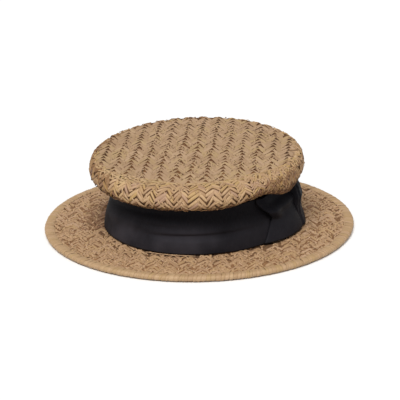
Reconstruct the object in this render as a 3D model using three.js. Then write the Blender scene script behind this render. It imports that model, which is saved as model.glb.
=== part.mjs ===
// A straw boater hat with a wide ribbon and a flat side bow, resting on the rim of its brim.
// Millimetres, +Z up. The front faces -Y, the wearer's left is +X,
// and the origin is on the ground under the middle of the brim.
import * as THREE from "three";

// Head opening
const headWidth = 162; // clear width at the narrowest part of the crown
const headLength = 181; // clear length at the same height
const strawThickness = 2.6; // woven straw of the crown
const clearance = 0.3; // left between neighbouring pieces

// Brim and its wrapped border
const brimWidth = 60.5; // from the foot of the crown to the rim
const brimThickness = 3;
const bindingThickness = 1; // straw wrapped over and under the brim
const bindingWidth = 9.5;
const rimDepth = 3.5; // solid roll outside the edge of the brim
const bindingChamfer = 0.6;

// Crown
const footFlare = 9.6; // how far the foot spreads beyond the narrowest part
const neckHeight = 39; // narrowest part, above the brim
const lipHeight = 51.4; // underside of the overhanging crown, above the brim
const crownOverhang = 22.2; // lip beyond the narrowest part of the wall
const sideDepth = 20.3; // from the underside of the lip to the flat top
const lipRadius = 9.3;
const shoulderRadius = 7.8;
const shoulderInset = 1; // shoulder inside the lip
const crownBorder = 8; // plaited side turned in over the flat top
const tipDome = 1.4; // rise of the flat top in its middle
const crownLean = 4.4; // rise of the back of the crown over its middle, at the end of the head opening
const crownSway = -2; // sideways shift of the crown

// Ribbon
const ribbonThickness = 1;
const ribbonLift = 1.2; // lower edge above the brim
const ribbonTuck = 5; // upper edge below the underside of the lip
const ribbonSlack = 1.5; // how far its loose folds stand off the straw
const looseEdge = 0.12; // share of the ribbon's height that lifts as much at its lower edge

// Bow on the wearer's left
const bowPlace = 160; // along the ribbon from the front to the middle of the knot
const tailLength = 72; // from the middle of the knot to the points of a tail
const notchDepth = 19; // swallow-tail cut
const tailThickness = 1.2;
const tailLift = 2; // lower edge above the brim
const tailBulge = 9.5; // how far a tail swells away from the ribbon at the knot
const tailEase = 0.7; // how soon a tail lifts off the ribbon: lower is sooner
const knotWidth = 28;
const knotDepth = 13.7;
const knotRounding = 0.22; // share of the knot's depth lost at its two edges

// How finely the shapes are divided
const sidesRound = 60;
const roundingSteps = 4;
const rimSteps = 6;
const wallLevels = 8;
const ribbonLevels = 9;
const tailColumns = 12;
const tailLevels = 6;
const knotColumns = 6;

// Sizes that follow. A reach is measured outwards from the narrowest part of the head opening.
const halfWidth = headWidth / 2;
const halfLength = headLength / 2;
const bindingHeight = brimThickness + 2 * (bindingThickness + clearance);
const brimBottom = bindingThickness + clearance;
const brimTop = brimBottom + brimThickness;
const footReach = footFlare + strawThickness;
const rimReach = footReach + brimWidth;
const ribbonHeight = lipHeight - ribbonTuck - ribbonLift;
const lipReach = strawThickness + crownOverhang;
const lipRound = Math.min(lipRadius, sideDepth / 2);
const shoulderRound = Math.min(shoulderRadius, sideDepth / 2);
const lipBase = brimTop + lipHeight;
const crownTop = lipBase + sideDepth;
const shoulderReach = lipReach - shoulderInset;
const borderReach = shoulderReach - shoulderRound - crownBorder;

// Loose folds of the ribbon. angle and span: degrees round the head from the front;
// low and high: height of the crease at its two ends, as shares of the ribbon's height;
// width: share of the ribbon's height that the crease takes; slack: share of ribbonSlack.
const ribbonFolds = [
  { angle: 24, span: 46, low: 0.17, high: 0.34, width: 0.13, slack: 1 },
  { angle: -52, span: 30, low: 0.3, high: 0.12, width: 0.12, slack: 0.7 },
  { angle: 180, span: 60, low: 0.25, high: 0.3, width: 0.14, slack: 0.6 },
];

// Side view of a bow tail, from its lower edge to its upper one. up: share of the tail's height;
// swell: share of tailBulge; reach: share of notchDepth that this level falls short of the points.
const tailProfile = [
  { up: 0, swell: 1, reach: 0.05 },
  { up: 0.24, swell: 0.9, reach: 0.5 },
  { up: 0.44, swell: 0.92, reach: 1 },
  { up: 0.68, swell: 0.88, reach: 0.5 },
  { up: 0.86, swell: 0.6, reach: 0.08 },
  { up: 1, swell: 0.2, reach: 0 },
];

// Side view of the knot. up: share of its height; wide and deep: shares of knotWidth and knotDepth.
const knotProfile = [
  { up: 0, wide: 0.94, deep: 0.88 },
  { up: 0.24, wide: 0.94, deep: 0.8 },
  { up: 0.44, wide: 1, deep: 0.98 },
  { up: 0.66, wide: 1, deep: 1 },
  { up: 0.84, wide: 0.96, deep: 0.76 },
  { up: 1, wide: 0.9, deep: 0.5 },
];

// Value of a table's column at a height, along straight lines between its rows
function readTable(table, column, up) {
  const above = Math.max(1, table.findIndex((row) => row.up >= up));
  const low = table[above - 1];
  const high = table[above];
  const share = THREE.MathUtils.clamp((up - low.up) / (high.up - low.up), 0, 1);
  return THREE.MathUtils.lerp(low[column], high[column], share);
}

// Place on an oval that lies a reach outside the head opening, at an angle from the front
function ovalPoint(angle, reach, height) {
  const x = (halfWidth + reach) * Math.sin(angle);
  const y = -(halfLength + reach) * Math.cos(angle);
  return new THREE.Vector3(x, y, height);
}

// Indexed geometry from points and faces
function geometryFrom(points, faces) {
  const geometry = new THREE.BufferGeometry().setFromPoints(points);
  geometry.setIndex(faces);
  return geometry;
}

// Two triangles for a four-sided face, its corners listed against the clock seen from outside
function pushQuad(faces, a, b, c, d) {
  faces.push(a, b, c, a, c, d);
}

// Closed ring whose section, a list of points (reach, height), is carried round the head.
// The section runs against the clock, and may change with the angle.
function ringAround(sectionAt) {
  const points = [];
  const faces = [];
  const corners = sectionAt(0).length;
  for (let side = 0; side < sidesRound; side++) {
    const angle = (2 * Math.PI * side) / sidesRound;
    for (const corner of sectionAt(angle)) points.push(ovalPoint(angle, corner.x, corner.y));
    const next = (side + 1) % sidesRound;
    for (let corner = 0; corner < corners; corner++) {
      const after = (corner + 1) % corners;
      const here = side * corners;
      const there = next * corners;
      pushQuad(faces, here + corner, there + corner, there + after, here + after);
    }
  }
  return geometryFrom(points, faces);
}

// Closed slab between two faces of a patch. outside(u, v) and inside(u, v) give the places
// for shares u along it and v up it.
function slabBetween(outside, inside, columns, levels) {
  const points = [];
  const faces = [];
  const width = levels + 1;
  const layer = (columns + 1) * width;
  for (const face of [outside, inside]) {
    for (let column = 0; column <= columns; column++) {
      for (let level = 0; level <= levels; level++) points.push(face(column / columns, level / levels));
    }
  }
  for (let column = 0; column < columns; column++) {
    for (let level = 0; level < levels; level++) {
      const a = column * width + level;
      const b = a + width;
      pushQuad(faces, a, b, b + 1, a + 1);
      pushQuad(faces, a + layer, a + 1 + layer, b + 1 + layer, b + layer);
    }
  }
  for (let column = 0; column < columns; column++) {
    const low = column * width;
    const high = low + levels;
    pushQuad(faces, low, low + layer, low + width + layer, low + width);
    pushQuad(faces, high, high + width, high + width + layer, high + layer);
  }
  for (let level = 0; level < levels; level++) {
    const near = level;
    const far = columns * width + level;
    pushQuad(faces, near, near + 1, near + 1 + layer, near + layer);
    pushQuad(faces, far, far + layer, far + 1 + layer, far + 1);
  }
  return geometryFrom(points, faces);
}

// Points of a quarter round in a section, between two angles
function arcPoints(centre, radius, from, to) {
  const points = [];
  for (let step = 0; step <= roundingSteps; step++) {
    const angle = THREE.MathUtils.lerp(from, to, step / roundingSteps);
    points.push(
      new THREE.Vector2(centre.x + radius * Math.cos(angle), centre.y + radius * Math.sin(angle)),
    );
  }
  return points;
}

// Reach of the crown wall's inner face at a height above the brim: it narrows in a soft curve
function wallReach(up) {
  const share = THREE.MathUtils.clamp(up / neckHeight, 0, 1);
  return (footFlare * (1 + Math.cos(Math.PI * share))) / 2;
}

// Leans and shifts the crown: nothing at the brim, the full amount from the lip upwards
function leanCrown(geometry) {
  const place = geometry.getAttribute("position");
  for (let i = 0; i < place.count; i++) {
    const share = THREE.MathUtils.clamp((place.getZ(i) - brimTop) / lipHeight, 0, 1);
    const rise = (crownLean * share * place.getY(i)) / halfLength;
    place.setX(i, place.getX(i) + crownSway * share);
    place.setZ(i, place.getZ(i) + rise);
  }
  return geometry;
}

// Flat woven sheet round the foot of the crown
function makeBrim() {
  const inner = footReach + clearance;
  const outer = rimReach - rimDepth - clearance;
  const section = [
    new THREE.Vector2(inner, brimBottom),
    new THREE.Vector2(outer, brimBottom),
    new THREE.Vector2(outer, brimTop),
    new THREE.Vector2(inner, brimTop),
  ];
  return ringAround(() => section);
}

// Wrapped straw border: a roll outside the brim with a lap over it and one under it
function makeBrimEdge() {
  const inner = rimReach - bindingWidth;
  const grooveEnd = rimReach - rimDepth;
  const radius = bindingHeight / 2;
  const section = [
    new THREE.Vector2(inner, brimBottom - clearance),
    new THREE.Vector2(inner, bindingChamfer),
    new THREE.Vector2(inner + bindingChamfer, 0),
  ];
  for (let step = 0; step <= rimSteps; step++) {
    const angle = Math.PI * (step / rimSteps - 1 / 2);
    const reach = rimReach - radius + radius * Math.cos(angle);
    section.push(new THREE.Vector2(reach, radius + radius * Math.sin(angle)));
  }
  section.push(
    new THREE.Vector2(inner + bindingChamfer, bindingHeight),
    new THREE.Vector2(inner, bindingHeight - bindingChamfer),
    new THREE.Vector2(inner, brimTop + clearance),
    new THREE.Vector2(grooveEnd, brimTop + clearance),
    new THREE.Vector2(grooveEnd, brimBottom - clearance),
  );
  return ringAround(() => section);
}

// Wall from the brim up to the underside of the overhanging crown
function makeCrownWall() {
  const top = lipHeight - clearance;
  const outer = [new THREE.Vector2(footReach, brimBottom)];
  const inner = [new THREE.Vector2(footFlare, brimBottom)];
  for (let level = 0; level <= wallLevels; level++) {
    const up = (top * level) / wallLevels;
    outer.push(new THREE.Vector2(wallReach(up) + strawThickness, brimTop + up));
    inner.push(new THREE.Vector2(wallReach(up), brimTop + up));
  }
  const section = [...outer, ...inner.reverse()];
  return leanCrown(ringAround(() => section));
}

// Rolled side of the crown: underside, rounded lip, plaited side, shoulder and border of the top
function makeCrownSide() {
  const lip = new THREE.Vector2(lipReach - lipRound, lipBase + lipRound);
  const shoulder = new THREE.Vector2(shoulderReach - shoulderRound, crownTop - shoulderRound);
  const quarter = Math.PI / 2;
  const section = [
    new THREE.Vector2(0, lipBase),
    ...arcPoints(lip, lipRound, -quarter, 0),
    ...arcPoints(shoulder, shoulderRound, 0, quarter),
    new THREE.Vector2(borderReach, crownTop),
    new THREE.Vector2(borderReach, crownTop - strawThickness),
    ...arcPoints(shoulder, shoulderRound - strawThickness, quarter, 0),
    ...arcPoints(lip, lipRound - strawThickness, 0, -quarter),
    new THREE.Vector2(0, lipBase + strawThickness),
  ];
  return leanCrown(ringAround(() => section));
}

// Woven top of the crown, a little domed, inside the border
function makeCrownTip() {
  const reach = borderReach - clearance;
  const radii = [0, 0.35, 0.7, 1];
  const under = radii.map((share) => new THREE.Vector2(share, tipDome * (1 - share ** 2) - strawThickness));
  const over = radii.map((share) => new THREE.Vector2(share, tipDome * (1 - share ** 2)));
  const geometry = new THREE.LatheGeometry([...under, ...over.reverse()], sidesRound);
  geometry.rotateX(Math.PI / 2);
  geometry.scale(halfWidth + reach, halfLength + reach, 1);
  geometry.translate(0, 0, crownTop);
  return leanCrown(geometry);
}

// How far the ribbon stands off the straw at an angle and a share of its height
function ribbonLooseness(angle, share) {
  let loose = 0;
  for (const fold of ribbonFolds) {
    const turn = THREE.MathUtils.radToDeg(angle) - fold.angle;
    const along = (THREE.MathUtils.euclideanModulo(turn + 180, 360) - 180) / fold.span;
    if (Math.abs(along) >= 1) continue;
    const crease = THREE.MathUtils.lerp(fold.high, fold.low, (along + 1) / 2);
    const press = Math.exp(-(((share - crease) / fold.width) ** 2));
    const fade = Math.cos((Math.PI * along) / 2) ** 2;
    const held = Math.sin(Math.PI * THREE.MathUtils.clamp(share, looseEdge, 1));
    loose += fold.slack * fade * (1 - press) * held;
  }
  return ribbonSlack * loose;
}

// Reach of the ribbon's outer face at an angle and a height above the brim
function ribbonReach(angle, up) {
  const share = (up - ribbonLift) / ribbonHeight;
  const straw = wallReach(up) + strawThickness;
  return straw + clearance + ribbonLooseness(angle, share) + ribbonThickness;
}

// Wide ribbon round the wall
function makeRibbon() {
  const sectionAt = (angle) => {
    const outer = [];
    const inner = [];
    for (let level = 0; level <= ribbonLevels; level++) {
      const up = ribbonLift + (ribbonHeight * level) / ribbonLevels;
      const reach = ribbonReach(angle, up);
      outer.push(new THREE.Vector2(reach, brimTop + up));
      inner.push(new THREE.Vector2(reach - ribbonThickness, brimTop + up));
    }
    return [...outer, ...inner.reverse()];
  };
  return leanCrown(ringAround(sectionAt));
}

// Line along the ribbon's lower edge, used to turn a distance from the front into an angle
class RibbonLine extends THREE.Curve {
  getPoint(share, target = new THREE.Vector3()) {
    return target.copy(ovalPoint(2 * Math.PI * share, footReach + clearance + ribbonThickness, 0));
  }
}
const ribbonLine = new RibbonLine();
ribbonLine.arcLengthDivisions = 720;

// Angle from the front at a distance along the ribbon
function angleAlong(distance) {
  return 2 * Math.PI * ribbonLine.getUtoTmapping(0, distance);
}

// Place over the ribbon: a distance along it, a height above the brim and a depth over its face
function overRibbon(distance, up, depth) {
  const angle = angleAlong(distance);
  return ovalPoint(angle, ribbonReach(angle, up) + depth, brimTop + up);
}

// Height above the brim at a share of the bow's height
function bowUp(share) {
  return THREE.MathUtils.lerp(tailLift, lipHeight - ribbonTuck, share);
}

// Swallow-tailed end of the bow. direction is -1 for the tail towards the front, 1 for the back.
function makeTail(direction) {
  const place = (along, share, under) => {
    const root = knotWidth / 2 + clearance;
    const tip = tailLength - notchDepth * readTable(tailProfile, "reach", share);
    const away = THREE.MathUtils.lerp(root, tip, along);
    const fade = Math.cos((Math.PI * along) / 2) ** tailEase;
    const swell = tailBulge * fade * readTable(tailProfile, "swell", share);
    const depth = clearance + tailThickness * (1 - under) + swell;
    return overRibbon(bowPlace + direction * away, bowUp(share), depth);
  };
  const run = (along) => (direction < 0 ? 1 - along : along);
  const outside = (u, v) => place(run(u), v, 0);
  const inside = (u, v) => place(run(u), v, 1);
  return leanCrown(slabBetween(outside, inside, tailColumns, tailLevels));
}

// Knot that wraps the middle of the bow
function makeKnot() {
  const place = (u, v) => {
    const half = (knotWidth / 2) * readTable(knotProfile, "wide", v);
    return bowPlace + half * (2 * u - 1);
  };
  const outside = (u, v) => {
    const rounding = 1 - knotRounding * (2 * u - 1) ** 4;
    return overRibbon(place(u, v), bowUp(v), knotDepth * rounding * readTable(knotProfile, "deep", v));
  };
  const inside = (u, v) => overRibbon(place(u, v), bowUp(v), clearance);
  return leanCrown(slabBetween(outside, inside, knotColumns, tailLevels));
}

// Finishes
const topStraw = { color: 0xb0926f, roughness: 0.75, metalness: 0 };
const sideStraw = { color: 0xbf9a66, roughness: 0.72, metalness: 0 };
const borderStraw = { color: 0xc4a36f, roughness: 0.7, metalness: 0 };
const blackRibbon = { color: 0x232126, roughness: 0.55, metalness: 0 };

const pieces = [
  { name: "brim", make: makeBrim, finish: topStraw },
  { name: "brim_edge", make: makeBrimEdge, finish: borderStraw },
  { name: "crown_wall", make: makeCrownWall, finish: sideStraw },
  { name: "crown_side", make: makeCrownSide, finish: sideStraw },
  { name: "crown_tip", make: makeCrownTip, finish: topStraw },
  { name: "hat_ribbon", make: makeRibbon, finish: blackRibbon },
  { name: "bow_tail_front", make: () => makeTail(-1), finish: blackRibbon },
  { name: "bow_tail_back", make: () => makeTail(1), finish: blackRibbon },
  { name: "bow_knot", make: makeKnot, finish: blackRibbon },
];

const boater = new THREE.Group();
for (const piece of pieces) {
  const mesh = new THREE.Mesh(piece.make(), new THREE.MeshStandardMaterial(piece.finish));
  mesh.name = piece.name;
  boater.add(mesh);
}

export default boater;
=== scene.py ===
# %% [markdown]
# # A straw boater
# The hat is a stiff sheet of plaited straw: a flat brim, a wall round the head and a crown that overhangs
# it, with a wide black ribbon and a flat bow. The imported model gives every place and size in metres, so each
# piece made here is laid straight over its solid. The camera looks at the front, a little from the wearer's left.

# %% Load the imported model
import math
import random

import bmesh
import bpy
from mathutils import Matrix, Vector, noise


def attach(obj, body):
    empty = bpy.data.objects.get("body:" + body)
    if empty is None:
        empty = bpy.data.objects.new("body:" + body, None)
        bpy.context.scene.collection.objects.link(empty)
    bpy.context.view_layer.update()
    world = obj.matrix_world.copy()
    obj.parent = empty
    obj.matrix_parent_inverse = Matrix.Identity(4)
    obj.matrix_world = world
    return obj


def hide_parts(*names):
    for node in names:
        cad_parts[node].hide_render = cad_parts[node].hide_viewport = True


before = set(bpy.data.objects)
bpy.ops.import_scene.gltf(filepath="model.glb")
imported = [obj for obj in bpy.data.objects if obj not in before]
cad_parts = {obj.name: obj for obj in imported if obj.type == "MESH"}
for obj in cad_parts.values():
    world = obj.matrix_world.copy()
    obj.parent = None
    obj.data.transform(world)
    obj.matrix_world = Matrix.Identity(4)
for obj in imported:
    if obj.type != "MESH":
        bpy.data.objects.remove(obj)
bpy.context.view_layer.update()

print("solids:", ", ".join(sorted(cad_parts)))

# %% [markdown]
# ## The sizes of the hat
# All the straw follows one rule. A place on the hat is an angle round the head from the front, a reach outwards
# from the tightest part of the head opening, and a height. The opening is an oval, so the reach is added to both
# of its half sizes. The crown also leans: its back stands higher than its front. Writing this once, as two small
# functions, lets every straw, wrap and fold be placed with the same three numbers, in millimetres.

# %% Places on the hat
HALF_WIDTH = 81.0
HALF_LENGTH = 90.5
BRIM_BOTTOM = 1.3
BRIM_TOP = 4.3
LIP_HEIGHT = 51.4
LIP_BASE = 55.7
CROWN_TOP = 76.0
STRAW_THICKNESS = 2.6
FOOT_FLARE = 9.6
NECK_HEIGHT = 39.0
FOOT_REACH = 12.2
RIM_REACH = 72.7
BORDER_REACH = 8.0
CROWN_LEAN = 4.4
CROWN_SWAY = -2.0
TURN = 2 * math.pi


def clamp(value, low=0.0, high=1.0):
    return max(low, min(high, value))


def ease(low, high, value):
    """0 below low, 1 above high, and a soft step between them"""
    share = clamp((value - low) / (high - low))
    return share * share * (3 - 2 * share)


def lean(x, y, z):
    """A point of the upright hat in millimetres, leant with the crown and turned into metres"""
    share = clamp((z - BRIM_TOP) / LIP_HEIGHT)
    return Vector((x + CROWN_SWAY * share, y, z + CROWN_LEAN * share * y / HALF_LENGTH)) / 1000


def on_oval(angle, reach, height):
    return lean((HALF_WIDTH + reach) * math.sin(angle), -(HALF_LENGTH + reach) * math.cos(angle), height)


def oval_reach(x, y):
    """The angle and the reach of a point in plan"""
    reach = 0.0
    for _ in range(5):
        size = math.hypot(x / (HALF_WIDTH + reach), y / (HALF_LENGTH + reach))
        reach = max(-75.0, reach + (size - 1) * (85.75 + reach))
    return math.atan2(x / (HALF_WIDTH + reach), -y / (HALF_LENGTH + reach)), reach


print("front of the rim:", [round(v, 4) for v in on_oval(0, RIM_REACH, BRIM_TOP)])

# %% [markdown]
# ## One straw
# Up close the hat is hundreds of flat straws, each a few millimetres wide, that cross under one another. Painting
# them on a smooth sheet would leave the edge of the crown smooth too, and the light could not fall into the gaps.
# So one straw is made as a small grid, and copies of it are bent into place. Its edges turn down and its ends
# dive under the next straws, as in a real plait. Each copy keeps a number of its own, from which the material
# takes its shade.

# %% A blank straw
def make_blank(along, across):
    bm = bmesh.new()
    bm.loops.layers.uv.new("UVMap")
    bm.verts.layers.float.new("shade")
    bmesh.ops.create_grid(bm, x_segments=along, y_segments=across, size=1.0, calc_uvs=True)
    for face in bm.faces:
        face.smooth = True
    blank = bpy.data.meshes.new("blank")
    bm.to_mesh(blank)
    bm.free()
    return blank


bent_blank = make_blank(12, 4)
short_blank = make_blank(8, 3)
print("faces in a bent straw:", len(bent_blank.polygons), "in a short one:", len(short_blank.polygons))

# %% Starting a piece of work, and laying a straw on it
def start_work():
    bm = bmesh.new()
    bm.loops.layers.uv.new("UVMap")
    bm.verts.layers.float.new("shade")
    return bm


def lay_straw(work, blank, shape, place, shade, material=0):
    """shape(s, t) turns shares along and across the straw, each -1 to 1, into a place u, v and a height over
    the surface. place(u, v, height) turns that into a point on the hat."""
    laid = len(work.verts)
    faces = len(work.faces)
    work.from_mesh(blank)
    work.verts.ensure_lookup_table()
    if material:
        work.faces.ensure_lookup_table()
        for face in work.faces[faces:]:
            face.material_index = material
    layer = work.verts.layers.float["shade"]
    for vert in work.verts[laid:]:
        vert.co = place(*shape(vert.co.x, vert.co.y))
        vert[layer] = shade


def finish_piece(work, name, node, materials):
    """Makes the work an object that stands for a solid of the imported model"""
    mesh = bpy.data.meshes.new(name)
    work.to_mesh(mesh)
    work.free()
    piece = bpy.data.objects.new(name, mesh)
    bpy.context.scene.collection.objects.link(piece)
    for material in materials:
        mesh.materials.append(material)
    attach(piece, "root")
    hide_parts(node)
    print(name, "has", sum(len(face.vertices) - 2 for face in mesh.polygons), "triangles")
    return piece


# %% [markdown]
# ## Straw finishes
# Dry straw is matt with a faint polish, and is streaked along its length. No two straws have quite the same
# colour: most are tan, some pinkish, some yellow. The streaks could come from a wood texture, but a noise
# that is stretched along each straw's own UV map follows every bend. One node group makes the streaks and
# the darker edges for all the straw materials; the darker edges are painted shade, where each straw turns down
# between its neighbours. Each material then has its own colours.

# %% Node helpers
def add_node(tree, kind, **settings):
    node = tree.nodes.new(kind)
    for key, value in settings.items():
        setattr(node, key, value)
    return node


def join(tree, source, target):
    tree.links.new(source, target)


def math_node(tree, operation, first, second):
    """A Math node fed by sockets or plain numbers, and its result"""
    node = add_node(tree, "ShaderNodeMath", operation=operation)
    for socket, value in zip(node.inputs, (first, second)):
        if isinstance(value, (int, float)):
            socket.default_value = value
        else:
            join(tree, value, socket)
    return node.outputs[0]


def linear(red, green, blue):
    """A screen colour, 0 to 255, as the light that the shader wants"""
    return [((v / 255 + 0.055) / 1.055) ** 2.4 if v > 10 else v / 3295 for v in (red, green, blue)] + [1.0]


# %% Streaks along a straw, as a group
def make_straw_group():
    tree = bpy.data.node_groups.new("straw_streaks", "ShaderNodeTree")
    tree.interface.new_socket("UV", in_out="INPUT", socket_type="NodeSocketVector")
    tree.interface.new_socket("Shade", in_out="INPUT", socket_type="NodeSocketFloat")
    tree.interface.new_socket("Streak", in_out="OUTPUT", socket_type="NodeSocketFloat")
    tree.interface.new_socket("Edge", in_out="OUTPUT", socket_type="NodeSocketFloat")
    tree.interface.new_socket("Height", in_out="OUTPUT", socket_type="NodeSocketFloat")
    enter = add_node(tree, "NodeGroupInput")
    leave = add_node(tree, "NodeGroupOutput")
    split = add_node(tree, "ShaderNodeSeparateXYZ")
    join(tree, enter.outputs["UV"], split.inputs[0])
    stretched = add_node(tree, "ShaderNodeCombineXYZ")
    join(tree, math_node(tree, "MULTIPLY", split.outputs["X"], 1.6), stretched.inputs["X"])
    join(tree, math_node(tree, "MULTIPLY", split.outputs["Y"], 9.0), stretched.inputs["Y"])
    join(tree, math_node(tree, "MULTIPLY", enter.outputs["Shade"], 97.0), stretched.inputs["Z"])
    fibre = add_node(tree, "ShaderNodeTexNoise")
    fibre.inputs["Scale"].default_value = 1.0
    fibre.inputs["Detail"].default_value = 3.0
    join(tree, stretched.outputs[0], fibre.inputs["Vector"])
    # The edge mask is for painted shade along a straw's long edges, where it turns down between its neighbours.
    centred = math_node(tree, "ABSOLUTE", math_node(tree, "SUBTRACT", split.outputs["Y"], 0.5), 0.0)
    edge = add_node(tree, "ShaderNodeMapRange", interpolation_type="SMOOTHSTEP")
    edge.inputs["From Min"].default_value = 0.30
    edge.inputs["From Max"].default_value = 0.5
    join(tree, centred, edge.inputs["Value"])
    join(tree, fibre.outputs["Fac"], leave.inputs["Streak"])
    join(tree, edge.outputs["Result"], leave.inputs["Edge"])
    join(tree, fibre.outputs["Fac"], leave.inputs["Height"])
    return tree


straw_streaks = make_straw_group()
print("straw group has", len(straw_streaks.nodes), "nodes")

# %% A straw material from its range of colours
def make_straw(name, colours, edge_shade_colour, streak_colour, roughness, bump, edge=0.45):
    material = bpy.data.materials.new(name)
    material.use_nodes = True
    tree = material.node_tree
    shader = tree.nodes["Principled BSDF"]
    shader.inputs["Roughness"].default_value = roughness
    shader.inputs["Specular IOR Level"].default_value = 0.35
    uv = add_node(tree, "ShaderNodeUVMap", uv_map="UVMap")
    shade = add_node(tree, "ShaderNodeAttribute", attribute_name="shade")
    streaks = add_node(tree, "ShaderNodeGroup", node_tree=straw_streaks)
    join(tree, uv.outputs[0], streaks.inputs["UV"])
    join(tree, shade.outputs["Fac"], streaks.inputs["Shade"])
    ramp = add_node(tree, "ShaderNodeValToRGB")
    while len(ramp.color_ramp.elements) < len(colours):
        ramp.color_ramp.elements.new(0.5)
    for place, colour in enumerate(colours):
        ramp.color_ramp.elements[place].position = place / (len(colours) - 1)
        ramp.color_ramp.elements[place].color = linear(*colour)
    join(tree, shade.outputs["Fac"], ramp.inputs[0])
    streaked = add_node(tree, "ShaderNodeMix", data_type="RGBA")
    streaked.inputs["B"].default_value = linear(*streak_colour)
    contrast = add_node(tree, "ShaderNodeMapRange")
    contrast.inputs["From Min"].default_value = 0.46
    contrast.inputs["From Max"].default_value = 0.72
    contrast.inputs["To Max"].default_value = 0.55
    join(tree, streaks.outputs["Streak"], contrast.inputs["Value"])
    join(tree, contrast.outputs["Result"], streaked.inputs["Factor"])
    join(tree, ramp.outputs["Color"], streaked.inputs["A"])
    # Painted shade: each straw darkens towards its long edges, where it turns down between its neighbours.
    edge_shaded = add_node(tree, "ShaderNodeMix", data_type="RGBA")
    edge_shaded.inputs["B"].default_value = linear(*edge_shade_colour)
    join(tree, math_node(tree, "MULTIPLY", streaks.outputs["Edge"], edge), edge_shaded.inputs["Factor"])
    join(tree, streaked.outputs["Result"], edge_shaded.inputs["A"])
    join(tree, edge_shaded.outputs["Result"], shader.inputs["Base Color"])
    relief = add_node(tree, "ShaderNodeBump")
    relief.inputs["Strength"].default_value = bump
    relief.inputs["Distance"].default_value = 0.0003
    join(tree, streaks.outputs["Height"], relief.inputs["Height"])
    join(tree, relief.outputs[0], shader.inputs["Normal"])
    return material


top_colours = [(178, 147, 114), (166, 134, 102), (184, 153, 121), (177, 148, 106), (162, 131, 100), (181, 150, 119)]
brim_colours = [(188, 153, 116), (174, 139, 104), (194, 160, 124), (184, 150, 108), (170, 136, 103), (196, 162, 130)]
side_colours = [(184, 150, 112), (166, 132, 97), (196, 163, 126), (184, 151, 98), (170, 136, 112), (194, 161, 118)]
# Painted shadow: a darker, redder straw for the brim by the foot of the crown, where the crown's shadow falls.
crown_shadow_colours = [(156, 118, 86), (142, 104, 76), (164, 126, 94), (150, 114, 80), (134, 98, 72), (160, 122, 94)]
seam_colours = [(190, 157, 116), (170, 137, 98), (200, 170, 132), (186, 157, 102), (164, 131, 98), (198, 165, 126)]
# Painted shade: a darker straw for the lower rows of the lip and for the two ends of the oval.
lip_shade_colours = [(156, 120, 82), (132, 96, 62), (176, 142, 104), (158, 122, 72), (126, 88, 66), (168, 133, 92)]
edge_colours = [(182, 151, 114), (176, 145, 107), (188, 155, 121), (178, 147, 104), (174, 141, 106), (188, 157, 120)]
top_straw = make_straw("top_straw", top_colours, (134, 98, 64), (150, 118, 85), 0.62, 0.5, 0.25)
brim_finish = make_straw("brim_straw_finish", brim_colours, (138, 98, 66), (150, 114, 82), 0.62, 0.5, 0.3)
crown_shadow_straw = make_straw("crown_shadow_straw", crown_shadow_colours, (104, 70, 48), (124, 90, 64), 0.65, 0.5, 0.4)
side_straw = make_straw("side_straw", side_colours, (116, 78, 42), (150, 113, 76), 0.56, 0.5, 0.6)
seam_straw = make_straw("seam_straw", seam_colours, (130, 94, 54), (154, 120, 76), 0.56, 0.5, 0.6)
lip_shade_straw = make_straw("lip_shade_straw", lip_shade_colours, (96, 62, 32), (118, 84, 50), 0.6, 0.5, 0.6)
border_straw = make_straw("border_straw", edge_colours, (140, 106, 70), (162, 130, 92), 0.55, 0.4, 0.45)
print("straw materials:", ", ".join(one.name for one in bpy.data.materials))

# %% The shaded straw deep in the plait
def make_deep_straw(name, dark, light):
    material = bpy.data.materials.new(name)
    material.use_nodes = True
    tree = material.node_tree
    shader = tree.nodes["Principled BSDF"]
    shader.inputs["Roughness"].default_value = 0.85
    place = add_node(tree, "ShaderNodeTexCoord")
    patches = add_node(tree, "ShaderNodeTexNoise")
    patches.inputs["Scale"].default_value = 420.0
    patches.inputs["Detail"].default_value = 3.0
    join(tree, place.outputs["Object"], patches.inputs["Vector"])
    ramp = add_node(tree, "ShaderNodeValToRGB")
    ramp.color_ramp.elements[0].position = 0.35
    ramp.color_ramp.elements[0].color = linear(*dark)
    ramp.color_ramp.elements[1].position = 0.68
    ramp.color_ramp.elements[1].color = linear(*light)
    join(tree, patches.outputs["Fac"], ramp.inputs[0])
    join(tree, ramp.outputs["Color"], shader.inputs["Base Color"])
    relief = add_node(tree, "ShaderNodeBump")
    relief.inputs["Distance"].default_value = 0.0004
    join(tree, patches.outputs["Fac"], relief.inputs["Height"])
    join(tree, relief.outputs[0], shader.inputs["Normal"])
    return material


deep_straw = make_deep_straw("deep_straw", (84, 50, 22), (126, 86, 46))
brim_shade = make_deep_straw("brim_shade", (112, 74, 42), (150, 112, 74))
side_shade = make_deep_straw("side_shade", (72, 44, 20), (112, 76, 40))
print("made", deep_straw.name)

# %% [markdown]
# ## The sheet behind the straws
# Between the straws you look down on the straws of the layer below, in shadow. A second full layer would double
# the work for little, so a plain dark sheet lies there. Each sheet is half of a side view, spun round the head as
# a lathe would, and then stretched from a circle to the hat's oval.

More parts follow.
